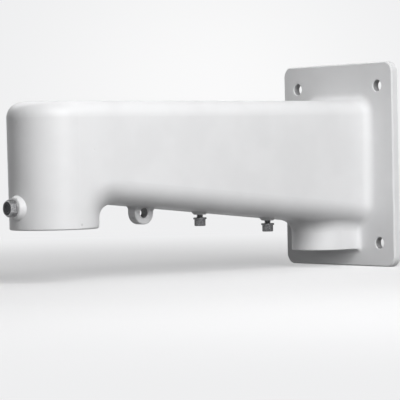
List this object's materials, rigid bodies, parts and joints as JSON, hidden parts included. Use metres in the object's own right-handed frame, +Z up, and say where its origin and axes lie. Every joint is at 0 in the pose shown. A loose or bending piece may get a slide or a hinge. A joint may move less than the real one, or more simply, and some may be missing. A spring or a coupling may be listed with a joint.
{
  "type": "camera wall bracket",
  "caption": "Hollow cast wall bracket with a bolted plate, a level arm and a drum with a threaded pipe socket that carries a pendant camera, with cable entry and safety-wire eye.",
  "frame": {"origin": "centre of the four wall holes on the plate's back face, which is the wall's surface", "axes": "+Y into the wall, so the arm points along -Y; +Z up; +X to the right for someone who faces the wall"},
  "size_m": [0.15, 0.3839, 0.19],
  "materials": {
    "powder_coat": "satin pale powder coat with a fine orange peel",
    "black_steel": "black oxide",
    "dark_steel": "darkened steel, slightly worn",
    "machined_aluminium": "bare cut thread"
  },
  "bodies": {
    "root": {"bracket_casting": "powder_coat", "lock_bolt": "black_steel", "lock_washer": "dark_steel", "front_screw": "dark_steel", "front_washer": "dark_steel", "rear_screw": "dark_steel", "rear_washer": "dark_steel"}
  },
  "joints": []
}
